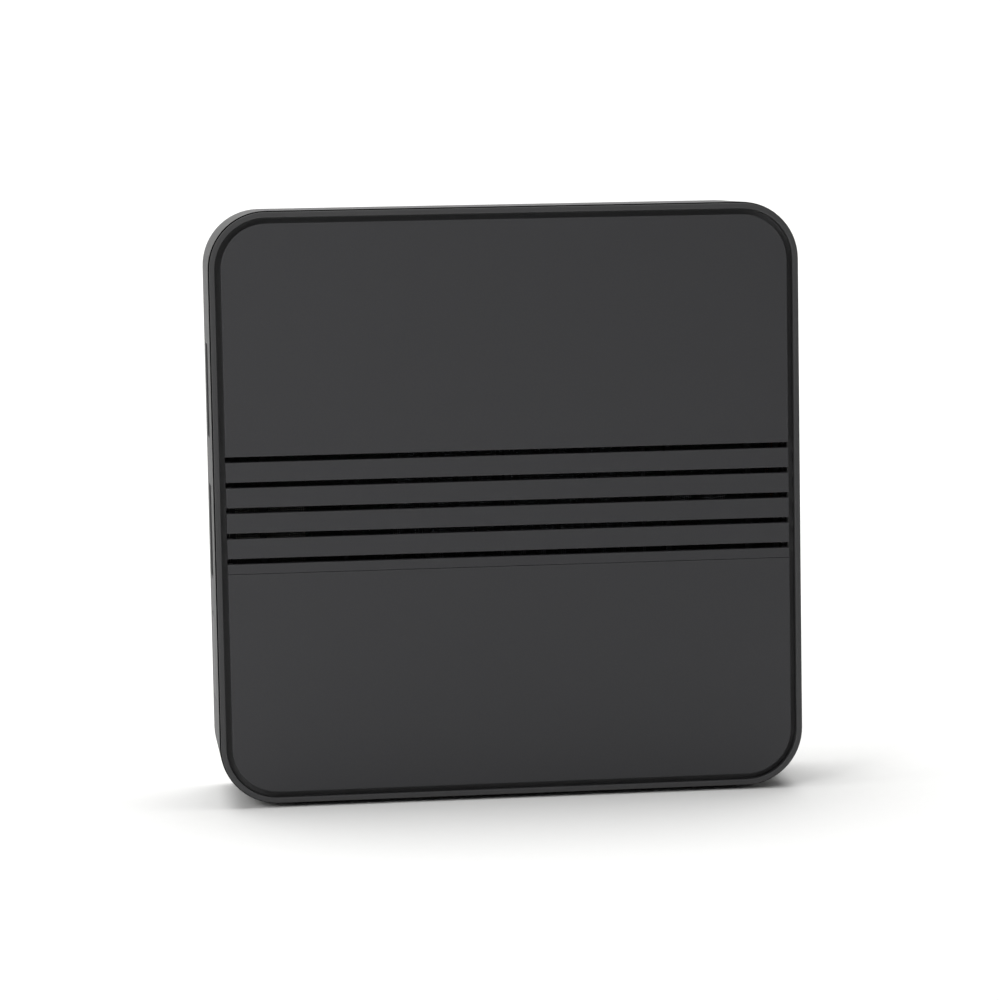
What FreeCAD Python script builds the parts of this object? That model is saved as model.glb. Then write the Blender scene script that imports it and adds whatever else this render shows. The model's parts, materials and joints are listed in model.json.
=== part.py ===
"""Mesh wifi node: a square upright slab with rounded corners, 130 mm across.

Depth runs along +Y from the front plane to the rear wall while the pieces are made, with X to the
right and Z up from the middle of the front. The last step moves every piece into the row frame,
whose origin is the middle of the footprint, on the surface that the rubber feet rest on.
All sizes are in millimetres.
"""
import FreeCAD, Part
import math
import os

V = FreeCAD.Vector

# ---- driving sizes ----------------------------------------------------------------------------
# Casing
width = 130.0
height = 130.0
depth = 33.5
corner_radius = 12.7
wall = 2.0
rear_edge_chamfer = 1.3

# Front: rim, trench round the panel, and the dark joint behind the rim
reveal = 0.27
rim_width = 1.16
groove_width = 1.29
groove_depth = 2.0
rim_lip = 0.9
gasket_thickness = 1.0
gasket_width = 0.8
frame_plate = 2.0
skirt_height = 4.0
skirt_thickness = 1.2

# Louvre band in the upper fascia
slot_count = 5
slot_height = 1.25
slot_pitch = 5.57
fascia_seam = 0.04
window_side = 1.3
window_margin = 1.5
rib_count = 7
rib_thickness = 1.4
rib_spacing = 18.0
rib_depth = 1.4
lug_inset = 0.5
screen_setback = 2.4
screen_thickness = 0.4
screen_lap = 1.0
screen_side_lap = 0.4
collar_thickness = 1.4

# Ports and the pairing button, in one row along the left wall
port_length = 21.0
port_width = 11.0
port_heights = (25.1, -6.4)
port_corner = 0.8
row_from_rear = 13.1
bezel_recess = 1.0
bezel_flange = 0.8
bezel_flange_reach = 1.2
button_length = 19.2
button_height = -34.6
button_gap = 0.25
cap_edge = 0.15
stem_rise = 1.9
stem_reach = 2.2
stem_thickness = 1.2
switch_from_wall = 6.6
switch_depth = 3.6
switch_size = 6.0
switch_rise = 3.8
plunger_radius = 0.9
button_flange = 1.0
button_rail = 1.2
button_rail_reach = 4.5
switch_throw = 1.25
contact_gap = 0.3

# Ethernet jack (low-profile shielded eight-pin socket)
jack_length = 18.0
jack_width = 16.0
jack_rise = 11.5
jack_shield = 0.3
plug_width = 11.9
plug_rise = 8.2
plug_depth = 13.0
contact_pitch = 1.02
contact_count = 8
contact_size = 0.4
transformer_gap = 2.0
transformer_width = 7.0
transformer_length = 13.0
transformer_rise = 4.0

# Power inlet (24-pin reversible receptacle) on the right wall
inlet_height = -34.6
inlet_width = 8.94
inlet_rise = 3.26
inlet_length = 8.6
inlet_shell = 0.35
inlet_lead_in = 0.8

# Circuit board and what stands on it
board_thickness = 1.6
board_behind = 3.75
board_side_gap = 5.0
board_top_gap = 11.0
board_bottom_gap = 9.0
fixing_from_boss_x = 8.0
fixing_from_boss_top = 4.0
fixing_from_boss_bottom = 2.0
standoff_radius = 3.0
sink_width = 56.0
sink_height = 50.0
sink_x = 4.0
sink_z = 12.0
sink_base = 2.0
sink_rise = 13.0
fin_count = 13
fin_thickness = 1.1
pin_inset = 3.2
pin_radius = 1.2
pin_head_radius = 2.2
pin_head_height = 1.6
chip_size = 17.0
chip_rise = 1.2
pad_thickness = 0.8
shield_width = 26.0
shield_height = 22.0
shield_rise = 2.8
shield_wall = 0.25
shield_z = -36.0
shield_places = {"left": -12.0, "right": 20.0}
radio_chip_size = 9.0
package_rise = 1.0
memory_from_chip = 17.0
memory_width = 9.0
memory_length = 12.0
coil_size = 7.0
coil_rise = 4.0
coil_corner = 1.2
coil_x = 44.0
coil_levels = (-12.0, -22.0)
led_rise = 1.0
led_length = 2.8
led_width = 2.4
pipe_width = 3.2
pipe_collar = 1.0
capacitor_radius = 3.1
capacitor_rise = 7.0
capacitor_level = 0.0
capacitor_places = (41.0, 49.0)

# Fastening
boss_inset = 15.0
boss_radius = 4.4
frame_boss_radius = 3.6
boss_clearance = 0.9
boss_floor = 1.5
joint_depth = 14.0
casing_screw_radius = 1.15
casing_screw_reach = 20.0
screw_well_radius = 3.2
screw_well_depth = 5.0
casing_head_radius = 2.7
casing_head_height = 1.8
board_screw_radius = 0.95
board_screw_bite = 2.85
board_head_radius = 2.6
board_head_height = 1.6
thread_clearance = 0.05
screw_clearance = 0.4

# Underside, rear wall and antennas
foot_proud = 0.8
foot_sunk = 0.8
foot_length = 26.0
foot_width = 11.0
foot_offset = 31.0
vent_count = 9
vent_length = 62.0
vent_width = 1.8
vent_pitch = 4.2
vent_height = 26.0
label_length = 54.0
label_width = 22.0
label_height = -20.0
label_thickness = 0.2
label_recess = 0.3
label_corner = 1.5
reset_hole_radius = 0.9
reset_x = 34.0
reset_z = -42.0
reset_travel = 0.25
reset_switch_size = 5.2
reset_switch_rise = 2.2
reset_switch_floor = 0.6
reset_plunger_radius = 1.1
reset_plunger_rise = 3.0
antenna_length = 36.0
antenna_strip = 9.0
antenna_thickness = 0.8
antenna_standoff = 3.0
antenna_y = 10.0
antenna_rail = 2.4
lead_radius = 0.57
lead_bend = 3.0
socket_size = 3.0
socket_rise = 1.4

# Clearances
fit_gap = 0.15
hook_gap = 0.15
hook_x = 35.0
hook_from_band = 4.0
hook_from_edge = 12.0
hook_width = 4.0
hook_stem = 1.4
hook_barb = 0.6
hook_reach = 1.7
plunger_gap = 0.08

# ---- places that follow from the sizes ----------------------------------------------------------
half_width = width / 2
half_height = height / 2
panel_inset = reveal + rim_width + groove_width
groove_floor = groove_depth
plate_back = groove_floor + frame_plate
screen_front = plate_back + screen_setback
gasket_back = rim_lip + gasket_thickness
lip_inset = gasket_width - fit_gap
skirt_inset = wall + fit_gap
rear_inside = depth - wall
board_back = rear_inside - board_behind
board_front = board_back - board_thickness
row_y = depth - row_from_rear
lead_y = antenna_y + antenna_strip / 2
inlet_y = board_front - inlet_shell - inlet_rise / 2
wall_inside = half_width - wall
seam_z = -slot_count * slot_pitch / 2
window_half_height = (slot_count - 1) * slot_pitch / 2 + slot_height / 2 + window_margin
window_half_width = half_width - panel_inset - window_side
boss_x = half_width - boss_inset
boss_z = half_height - boss_inset
board_right = wall_inside - board_side_gap
board_left = -board_right
board_top = half_height - wall - board_top_gap
board_bottom = board_bottom_gap + wall - half_height
board_fixings = [(side * (boss_x - fixing_from_boss_x), z) for side in (-1, 1)
                 for z in (boss_z - fixing_from_boss_top, fixing_from_boss_bottom - boss_z)]


# ---- basic forms --------------------------------------------------------------------------------
def block(x0, x1, y0, y1, z0, z1):
    """Box between two opposite corners."""
    return Part.makeBox(x1 - x0, y1 - y0, z1 - z0, V(x0, y0, z0))


def rounded_block(x0, x1, y0, y1, z0, z1, radius, along):
    """Box with its four edges parallel to the direction `along` rounded."""
    body = block(x0, x1, y0, y1, z0, z1)
    edges = [e for e in body.Edges if abs(e.tangentAt(e.FirstParameter).dot(along)) > 0.99]
    return body.makeFillet(radius, edges)


def outline(inset, y0, y1):
    """Prism of the casing's rounded square, drawn in by `inset` on every side."""
    return rounded_block(inset - half_width, half_width - inset, y0, y1,
                         inset - half_height, half_height - inset, corner_radius - inset, V(0, 1, 0))


def ring(outer_inset, inner_inset, y0, y1):
    """Frame-shaped prism between two concentric outlines."""
    return outline(outer_inset, y0, y1).cut(outline(inner_inset, y0, y1))


def post(x, z, radius, y0, y1):
    """Round post along the depth."""
    return Part.makeCylinder(radius, y1 - y0, V(x, y0, z), V(0, 1, 0))


def fuse_all(shapes):
    """One solid from shapes that touch or overlap."""
    first, rest = shapes[0], shapes[1:]
    return first.multiFuse(rest).removeSplitter() if rest else first


def slot_levels():
    """Heights of the louvre slots' centre lines."""
    return [(i - (slot_count - 1) / 2) * slot_pitch for i in range(slot_count)]


def louvre_slots(reach, y0, y1):
    """Spaces of the louvre slots, `reach` to each side of the middle."""
    return [block(-reach, reach, y0, y1, z - slot_height / 2, z + slot_height / 2) for z in slot_levels()]


def corners(x, z):
    """The four mirrored places of a point in the front view."""
    return [(sx * x, sz * z) for sx in (-1, 1) for sz in (-1, 1)]


# ---- casing -------------------------------------------------------------------------------------
def rear_vents():
    """Row of square-ended slots through the rear wall, like the louvres in front."""
    cuts = []
    for i in range(vent_count):
        z = vent_height + (i - (vent_count - 1) / 2) * vent_pitch
        cuts.append(block(-vent_length / 2, vent_length / 2, rear_inside - 1, depth + 1,
                          z - vent_width / 2, z + vent_width / 2))
    return cuts


def foot_pocket(side, sunk):
    """Space of one rubber foot, from the bottom wall's outer face up by `sunk`."""
    middle = side * foot_offset
    return rounded_block(middle - foot_length / 2, middle + foot_length / 2,
                         depth / 2 - foot_width / 2, depth / 2 + foot_width / 2,
                         -half_height, sunk - half_height, foot_width * 0.3, V(0, 0, 1))


def wall_window(side, y, z, length, breadth, radius):
    """Opening through a side wall round (y, z), `length` tall and `breadth` deep."""
    inner, outer = side * (wall_inside - 1), side * (half_width + 1)
    return rounded_block(min(inner, outer), max(inner, outer), y - breadth / 2, y + breadth / 2,
                         z - length / 2, z + length / 2, radius, V(1, 0, 0))


def button_rails():
    """Two rails inside the left wall, which guide the button's flange."""
    gap = button_length / 2 + button_flange + button_gap
    spans = [(button_height - gap - button_rail, button_height - gap),
             (button_height + gap, button_height + gap + button_rail)]
    return [block(-wall_inside - 0.1, button_rail_reach - wall_inside, row_y - port_width / 2, board_front,
                  low, high) for low, high in spans]


def antenna_rails(x, z, upright):
    """Pair of short grooved rails on a side wall, which hold one antenna strip by its ends."""
    rails = []
    for end in (-1, 1):
        along = end * antenna_length / 2
        if upright:
            face = math.copysign(wall_inside + 0.1, x)
            rails.append(block(min(x, face), max(x, face), antenna_y, antenna_y + antenna_strip,
                               z + along - antenna_rail / 2, z + along + antenna_rail / 2))
        else:
            face = math.copysign(half_height - wall + 0.1, z)
            rails.append(block(x + along - antenna_rail / 2, x + along + antenna_rail / 2, antenna_y,
                               antenna_y + antenna_strip, min(z, face), max(z, face)))
    return rails


def antenna_places():
    """Name, middle and direction of each antenna strip, all on the walls without ports."""
    side = wall_inside - antenna_standoff
    top = half_height - wall - antenna_standoff
    return {
        "antenna_top_left": (-width * 0.18, top, False),
        "antenna_top_right": (width * 0.2, top, False),
        "antenna_right": (side, height * 0.1, True),
        "antenna_bottom": (0.0, -top, False),
    }


def rear_housing():
    """Moulded tub: side walls, rear wall, lap lip, bosses, stand-offs, ports, vents and pockets."""
    solid = outline(0, gasket_back, depth)
    rim = [e for e in solid.Edges if e.BoundBox.YMin > depth - 0.01]
    solid = solid.makeChamfer(rear_edge_chamfer, rim)
    tub = solid.cut(outline(wall, gasket_back - 1, rear_inside))
    tub = tub.cut(outline(lip_inset, gasket_back - 1, plate_back))
    adds = [post(x, z, boss_radius, joint_depth, rear_inside + 0.1) for x, z in corners(boss_x, boss_z)]
    adds += [post(x, z, standoff_radius, board_back, rear_inside + 0.1) for x, z in board_fixings]
    adds += button_rails()
    for x, z, upright in antenna_places().values():
        adds += antenna_rails(x, z, upright)
    tub = fuse_all([tub] + adds)
    cuts = rear_vents()
    cuts += [foot_pocket(side, foot_sunk) for side in (-1, 1)]
    cuts += [wall_window(-1, row_y, z, port_length, port_width, port_corner) for z in port_heights]
    cuts.append(wall_window(-1, row_y, button_height, button_length, port_width, port_corner))
    cuts.append(wall_window(1, inlet_y, inlet_height, inlet_width + 2 * inlet_lead_in,
                            inlet_rise + 2 * inlet_lead_in, inlet_rise / 2 + inlet_lead_in * 0.9))
    for x, z in corners(boss_x, boss_z):
        cuts.append(post(x, z, casing_screw_radius + screw_clearance, joint_depth - 1, depth))
        cuts.append(post(x, z, screw_well_radius, depth - screw_well_depth, depth + 1))
    cuts += [post(x, z, board_screw_radius + thread_clearance, board_back - 1, rear_inside - 0.4)
             for x, z in board_fixings]
    cuts.append(post(reset_x, reset_z, reset_hole_radius, rear_inside - 1, depth + 1))
    cuts.append(rounded_block(-label_length / 2, label_length / 2, depth - label_recess, depth + 1,
                              label_height - label_width / 2, label_height + label_width / 2,
                              label_corner, V(0, 1, 0)))
    for x, z, upright in antenna_places().values():
        cuts.append(antenna_strip_at(x, z, upright, fit_gap))
    return tub.cut(Part.makeCompound(cuts))


def joint_gasket():
    """Dark elastomer ring between the rim and the rear housing, flush with the outer walls."""
    return ring(0, gasket_width, rim_lip, gasket_back)


def hook_places(above):
    """Where a fascia's snap hooks pass through the front frame."""
    inner = window_half_height + screen_lap + hook_from_band
    outer = half_height - panel_inset - hook_from_edge
    levels = (inner, outer) if above else (-inner - slot_pitch / 2, -outer)
    return [(side * hook_x, z) for side in (-1, 1) for z in levels]


def snap_hook(x, z):
    """Moulded snap hook behind a fascia: a stem through the frame plate and a sloped barb."""
    side, half = x - hook_width / 2, hook_stem / 2
    root, catch, tip = groove_floor - 0.2, plate_back + 0.05, plate_back + hook_reach
    profile = [V(side, root, z - half), V(side, root, z + half), V(side, catch, z + half),
               V(side, catch, z + half + hook_barb), V(side, tip, z + half - 0.1), V(side, tip, z - half)]
    return Part.Face(Part.makePolygon(profile + profile[:1])).extrude(V(hook_width, 0, 0))


def hook_hole(x, z):
    """Hole in the frame plate that lets one snap hook's barb through."""
    reach = hook_width / 2 + hook_gap
    return block(x - reach, x + reach, groove_floor - 1, plate_back + 1,
                 z - hook_stem / 2 - hook_gap, z + hook_stem / 2 + hook_barb + hook_gap)


def front_frame():
    """Rim, trench floor and carrier plate in one moulding, with its skirt, collar bars and screw bosses.

    Its window carries on behind each slot as a notch, so that the slots stay dark up to the trench.
    """
    rim = ring(reveal, reveal + rim_width, 0, rim_lip)
    riser = ring(gasket_width, reveal + rim_width, rim_lip, groove_floor)
    plate = outline(gasket_width, groove_floor, plate_back)
    skirt = ring(skirt_inset, skirt_inset + skirt_thickness, plate_back, plate_back + skirt_height)
    bosses = [post(x, z, frame_boss_radius, plate_back - 0.1, joint_depth)
              for x, z in corners(boss_x, boss_z)]
    lower = block(-window_half_width, window_half_width, plate_back - 0.1, screen_front,
                  -window_half_height - collar_thickness, -window_half_height)
    upper = lower.translated(V(0, 0, 2 * window_half_height + collar_thickness))
    frame = fuse_all([plate, riser, rim, skirt, lower, upper] + bosses)
    cuts = [block(-window_half_width, window_half_width, groove_floor - 1, plate_back + 1,
                  -window_half_height, window_half_height)]
    cuts += louvre_slots(half_width - panel_inset, groove_floor - 1, plate_back + 1)
    cuts += [hook_hole(x, z) for above in (True, False) for x, z in hook_places(above)]
    cuts += [post(x, z, casing_screw_radius + thread_clearance, plate_back + boss_floor, joint_depth + 1)
             for x, z in corners(boss_x, boss_z)]
    return frame.cut(Part.makeCompound(cuts))


def slat_lugs(x):
    """Lugs behind the slats at one rib, set in from the slots so that the rib stays in the dark."""
    edges = [-window_half_height + fit_gap]
    for z in slot_levels():
        edges += [z - slot_height / 2 - lug_inset, z + slot_height / 2 + lug_inset]
    edges.append(window_half_height - fit_gap)
    side, front = rib_thickness / 2, screen_front - rib_depth
    return [block(x - side, x + side, groove_floor, front, low, high)
            for low, high in zip(edges[::2], edges[1::2])]


def upper_fascia():
    """Panel above the seam; its slots run from edge to edge, so ribs behind carry the slats on lugs."""
    plate = outline(panel_inset, 0, groove_floor)
    plate = plate.cut(block(-width, width, -1, depth, -height, seam_z + fascia_seam / 2))
    slats = plate.cut(Part.makeCompound(louvre_slots(width, -1, groove_floor + 1)))
    half, reach = rib_thickness / 2, window_half_height - fit_gap
    ribs = []
    for i in range(rib_count):
        x = (i - (rib_count - 1) / 2) * rib_spacing
        ribs.append(block(x - half, x + half, screen_front - rib_depth, screen_front, -reach, reach))
        ribs += slat_lugs(x)
    hooks = [snap_hook(x, z) for x, z in hook_places(True)]
    return fuse_all([slats] + ribs + hooks)


def lower_fascia():
    """Plain panel below the seam."""
    plate = outline(panel_inset, 0, groove_floor)
    plate = plate.cut(block(-width, width, -1, depth, seam_z - fascia_seam / 2, height))
    return fuse_all([plate] + [snap_hook(x, z) for x, z in hook_places(False)])


def dust_screen():
    """Black screen that backs the louvre band, seated on the frame's two collar bars."""
    side = window_half_width + screen_side_lap
    reach = window_half_height + screen_lap
    return block(-side, side, screen_front, screen_front + screen_thickness, -reach, reach)


def rubber_foot(side):
    """One foot strip, part sunk in the bottom wall."""
    strip = foot_pocket(side, foot_sunk).fuse(foot_pocket(side, foot_sunk).translated(V(0, 0, -foot_proud)))
    strip = strip.removeSplitter()
    sole = [e for e in strip.Edges if e.BoundBox.ZMax < -half_height - foot_proud + 0.01]
    return strip.makeChamfer(0.3, sole)


def rating_label():
    """Blank label in its recess on the rear wall."""
    floor = depth - label_recess
    half, rise = label_length / 2 - fit_gap, label_width / 2 - fit_gap
    return rounded_block(-half, half, floor, floor + label_thickness, label_height - rise, label_height + rise,
                         label_corner - fit_gap, V(0, 1, 0))


def casing_screws():
    """Four pan-head screws from the rear wells into the front frame's bosses."""
    seat = depth - screw_well_depth
    screws = []
    for x, z in corners(boss_x, boss_z):
        shank = post(x, z, casing_screw_radius, seat - casing_screw_reach, seat)
        head = post(x, z, casing_head_radius, seat, seat + casing_head_height)
        screws.append(shank.fuse(head).removeSplitter())
    return Part.makeCompound(screws)


# ---- ports, power inlet and button --------------------------------------------------------------
def port_bezel(z):
    """Black insert that fills one port window, with an opening shaped to the plug and its latch."""
    face = half_width - bezel_recess
    half, rise = port_width / 2 - fit_gap, port_length / 2 - fit_gap
    body = rounded_block(-face, -wall_inside, row_y - half, row_y + half, z - rise, z + rise,
                         port_corner - fit_gap, V(1, 0, 0))
    reach = port_length / 2 + bezel_flange_reach
    flange = block(-wall_inside, jack_front(), row_y - jack_rise / 2, row_y + jack_rise / 2,
                   z - reach, z + reach)
    return fuse_all([body, flange]).cut(plug_space(z, -half_width - 1, 1 - wall_inside))


def plug_space(z, x0, x1):
    """Space of an eight-pin plug: its body, with the narrower latch on the front side."""
    back = row_y + plug_rise / 2
    latch = plug_rise * 0.2
    body = block(x0, x1, row_y - plug_rise / 2 + latch, back, z - plug_width / 2, z + plug_width / 2)
    key = block(x0, x1, row_y - plug_rise / 2, back, z - plug_width * 0.27, z + plug_width * 0.27)
    return body.fuse(key).removeSplitter()


def jack_front():
    """X of the jacks' front faces, just behind the bezel flange."""
    return bezel_flange - wall_inside


def jack_shell(z):
    """Folded metal shield round one Ethernet jack, open at the plug."""
    x0 = jack_front()
    outer = block(x0, x0 + jack_length, board_front - jack_rise, board_front,
                  z - jack_width / 2, z + jack_width / 2)
    inner = block(x0 - 1, x0 + jack_length - jack_shield,
                  board_front - jack_rise + jack_shield, board_front + 1,
                  z - jack_width / 2 + jack_shield, z + jack_width / 2 - jack_shield)
    return outer.cut(inner)


def jack_insert(z):
    """Moulded body inside the shield, with the plug cavity."""
    x0 = jack_front()
    body = block(x0, x0 + jack_length - jack_shield, board_front - jack_rise + jack_shield, board_front,
                 z - jack_width / 2 + jack_shield, z + jack_width / 2 - jack_shield)
    return body.cut(plug_space(z, x0 - 1, x0 + plug_depth))


def jack_contacts():
    """Eight sprung contacts in each jack, sloping from the rear of the cavity to its floor."""
    wires = []
    x0 = jack_front()
    floor = row_y + plug_rise / 2
    for z in port_heights:
        for i in range(contact_count):
            side = z + (i - (contact_count - 1) / 2) * contact_pitch - contact_size / 2
            profile = [V(x0 + 2.6, floor, side), V(x0 + 2.6 + contact_size * 1.6, floor, side),
                       V(x0 + plug_depth - 1.2, floor - 2.2, side), V(x0 + plug_depth, floor - 2.2, side),
                       V(x0 + plug_depth, floor - 2.2 - contact_size, side),
                       V(x0 + plug_depth - 1.4, floor - 2.2 - contact_size, side)]
            wires.append(Part.Face(Part.makePolygon(profile + profile[:1])).extrude(V(0, 0, contact_size)))
    return Part.makeCompound(wires)


def inlet_shape(grow, x0, x1):
    """Flat-sided oval prism of the power receptacle, larger by `grow` all round."""
    rise, span = inlet_rise / 2 + grow, inlet_width / 2 + grow
    return rounded_block(x0, x1, inlet_y - rise, inlet_y + rise, inlet_height - span, inlet_height + span,
                         rise * 0.98, V(1, 0, 0))


def inlet_mouth():
    """X of the receptacle's open end, level with the inner face of the wall."""
    return wall_inside - fit_gap


def inlet_receptacle_shell():
    """Drawn steel shell of the power receptacle, closed at its inner end."""
    mouth = inlet_mouth()
    return inlet_shape(inlet_shell, mouth - inlet_length, mouth).cut(
        inlet_shape(0, mouth - inlet_length + 0.6, mouth + 1))


def inlet_tongue():
    """Contact tongue in the middle of the receptacle."""
    mouth = inlet_mouth()
    return rounded_block(mouth - inlet_length + 0.6, mouth - 0.6, inlet_y - 0.35, inlet_y + 0.35,
                         inlet_height - 3.3, inlet_height + 3.3, 0.3, V(0, 0, 1))


def pair_button():
    """Flush bar button: cap in its window, retaining flange behind the wall, and a cross-ribbed stem."""
    z = button_height
    cap = rounded_block(-half_width, -wall_inside + 0.3, row_y - port_width / 2 + button_gap,
                        row_y + port_width / 2 - button_gap, z - button_length / 2 + button_gap,
                        z + button_length / 2 - button_gap, port_corner - button_gap, V(1, 0, 0))
    brim = [e for e in cap.Edges if e.BoundBox.XMax < -half_width + 0.01]
    cap = cap.makeChamfer(cap_edge, brim)
    flange = block(-wall_inside + 0.2, -wall_inside + 1.2, row_y - port_width / 2 - 0.6,
                   row_y + port_width / 2 - 0.6, z - button_length / 2 - button_flange,
                   z + button_length / 2 + button_flange)
    end, root = plunger_tip(), -wall_inside + 1.1
    stem_y, half = board_front - stem_rise, stem_thickness / 2
    stem = block(root, end, stem_y - half, stem_y + half, z - stem_reach, z + stem_reach)
    fin = block(root, end, stem_y - stem_reach - half, stem_y + stem_thickness, z - half, z + half)
    return fuse_all([cap, flange, stem, fin])


def switch_front():
    """X of the pairing switch's face, which looks at the left wall."""
    return switch_from_wall - wall_inside


def plunger_tip():
    """X where the button's stem rests on the pairing switch's plunger."""
    return switch_front() - switch_throw + contact_gap


def pair_switch_body():
    """Side-acting tactile switch on the edge of the board."""
    x0 = switch_front()
    body = block(x0, x0 + switch_depth, board_front - switch_rise, board_front,
                 button_height - switch_size / 2, button_height + switch_size / 2)
    bore = Part.makeCylinder(plunger_radius + plunger_gap, switch_depth - switch_throw,
                             V(x0 - 0.1, board_front - stem_rise, button_height), V(1, 0, 0))
    return body.cut(bore)


def pair_switch_plunger():
    """Round plunger of the pairing switch, which the button's stem pushes."""
    return Part.makeCylinder(plunger_radius, switch_throw + 1.2,
                             V(plunger_tip(), board_front - stem_rise, button_height), V(1, 0, 0))


def reset_switch_body():
    """Low tactile switch on the back of the board, under the pinhole."""
    half = reset_switch_size / 2
    body = block(reset_x - half, reset_x + half, board_back, board_back + reset_switch_rise,
                 reset_z - half, reset_z + half)
    return body.cut(post(reset_x, reset_z, reset_plunger_radius + plunger_gap, reset_well_floor(),
                         rear_inside))


def reset_well_floor():
    """Y of the floor of the well that the reset plunger moves in."""
    return board_back + reset_switch_floor


def reset_plunger():
    """Plunger of the reset switch, reached with a pin through the rear wall."""
    return post(reset_x, reset_z, reset_plunger_radius, reset_well_floor() + reset_travel + 0.1,
                board_back + reset_plunger_rise)


# ---- circuit board ------------------------------------------------------------------------------
def main_board():
    """Board with square notches for the casing bosses, and its fixing holes."""
    board = block(board_left, board_right, board_front, board_back, board_bottom, board_top)
    inner_x, inner_z = boss_x - boss_radius - boss_clearance, boss_z - boss_radius - boss_clearance
    cuts = []
    for side_x, side_z in corners(1, 1):
        xs = sorted((side_x * inner_x, side_x * half_width))
        zs = sorted((side_z * inner_z, side_z * half_height))
        cuts.append(block(xs[0], xs[1], board_front - 1, board_back + 1, zs[0], zs[1]))
    cuts += [post(x, z, board_screw_radius + screw_clearance, board_front - 1, board_back + 1)
             for x, z in board_fixings]
    return board.cut(Part.makeCompound(cuts))


def board_screws():
    """Four small screws that hold the board on the housing's stand-offs."""
    screws = []
    for x, z in board_fixings:
        shank = post(x, z, board_screw_radius, board_front, board_back + board_screw_bite)
        head = post(x, z, board_head_radius, board_front - board_head_height, board_front)
        screws.append(shank.fuse(head).removeSplitter())
    return Part.makeCompound(screws)


def wifi_processor():
    """Main chip under the heat sink."""
    return block(sink_x - chip_size / 2, sink_x + chip_size / 2, board_front - chip_rise, board_front,
                 sink_z - chip_size / 2, sink_z + chip_size / 2)


def memory_chips():
    """Two memory packages beside the processor."""
    places = [sink_x + side * memory_from_chip for side in (-1, 1)]
    half, rise = memory_width / 2, memory_length / 2
    return Part.makeCompound([block(x - half, x + half, board_front - package_rise, board_front,
                                    sink_z - rise, sink_z + rise) for x in places])


def thermal_pad():
    """Soft pad between the processor and the heat sink."""
    face = board_front - chip_rise
    return block(sink_x - chip_size / 2, sink_x + chip_size / 2, face - pad_thickness, face,
                 sink_z - chip_size / 2, sink_z + chip_size / 2)


def sink_pin_places():
    """The two opposite corners of the heat sink that its spring pins pass through."""
    return [(sink_x + side * (sink_width / 2 - pin_inset), sink_z + side * (sink_height / 2 - pin_inset))
            for side in (-1, 1)]


def heat_sink():
    """Extruded sink: base plate with upright fins, cleared at two corners for its pins."""
    back = board_front - chip_rise - pad_thickness
    base = block(sink_x - sink_width / 2, sink_x + sink_width / 2, back - sink_base, back,
                 sink_z - sink_height / 2, sink_z + sink_height / 2)
    step = (sink_width - fin_thickness) / (fin_count - 1)
    fins = []
    for i in range(fin_count):
        x = sink_x - sink_width / 2 + i * step
        fins.append(block(x, x + fin_thickness, back - sink_rise, back - sink_base,
                          sink_z - sink_height / 2, sink_z + sink_height / 2))
    sink = fuse_all([base] + fins)
    for x, z in sink_pin_places():
        for reach, floor in ((pin_head_radius + 0.8, back - sink_base), (pin_radius + 0.2, back + 1)):
            sink = sink.cut(block(x - reach, x + reach, back - sink_rise - 1, floor, z - reach, z + reach))
    return sink


def heat_sink_pins():
    """Two plastic spring pins from the sink's base down to the board."""
    back = board_front - chip_rise - pad_thickness
    pins = []
    for x, z in sink_pin_places():
        shank = post(x, z, pin_radius, back - sink_base, board_front)
        head = post(x, z, pin_head_radius, back - sink_base - pin_head_height, back - sink_base)
        pins.append(shank.fuse(head).removeSplitter())
    return Part.makeCompound(pins)


def radio_shield(x):
    """Folded tinplate can over one radio section."""
    outer = block(x - shield_width / 2, x + shield_width / 2, board_front - shield_rise, board_front,
                  shield_z - shield_height / 2, shield_z + shield_height / 2)
    inner = block(x - shield_width / 2 + shield_wall, x + shield_width / 2 - shield_wall,
                  board_front - shield_rise + shield_wall, board_front + 1,
                  shield_z - shield_height / 2 + shield_wall, shield_z + shield_height / 2 - shield_wall)
    return outer.cut(inner)


def radio_chip(x):
    """Radio chip under its can."""
    reach = radio_chip_size / 2
    return block(x - reach, x + reach, board_front - package_rise, board_front,
                 shield_z - reach, shield_z + reach)


def network_transformers():
    """Isolating transformer module beside each Ethernet jack."""
    x0 = jack_front() + jack_length + transformer_gap
    reach = transformer_length / 2
    return Part.makeCompound([block(x0, x0 + transformer_width, board_front - transformer_rise, board_front,
                                    z - reach, z + reach) for z in port_heights])


def power_coils():
    """Two shielded inductors of the supply, near the power inlet."""
    reach, top = coil_size / 2, board_front - coil_rise
    return Part.makeCompound([rounded_block(coil_x - reach, coil_x + reach, top, board_front,
                                            z - reach, z + reach, coil_corner, V(0, 1, 0))
                              for z in coil_levels])


def power_capacitors():
    """Two can capacitors of the supply."""
    top = board_front - capacitor_rise
    return Part.makeCompound([post(x, capacitor_level, capacitor_radius, top, board_front)
                              for x in capacitor_places])


def led_place():
    """Where the status light stands on the board, below the louvre band's left part."""
    return -width * 0.2, slot_levels()[0]


def status_led():
    """Surface-mounted light on the board."""
    x, z = led_place()
    return block(x - led_length / 2, x + led_length / 2, board_front - led_rise, board_front,
                 z - led_width / 2, z + led_width / 2)


def light_pipe():
    """Clear square rod with a collar, which carries the light up to the back of the dust screen."""
    x, z = led_place()
    front = screen_front + screen_thickness + 0.3
    steps = ((pipe_width / 2, front, board_front - led_rise - 0.2),
             (pipe_width / 2 + pipe_collar, front + 2 * pipe_collar, front + 3 * pipe_collar))
    return fuse_all([block(x - half, x + half, y0, y1, z - half, z + half) for half, y0, y1 in steps])


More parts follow.
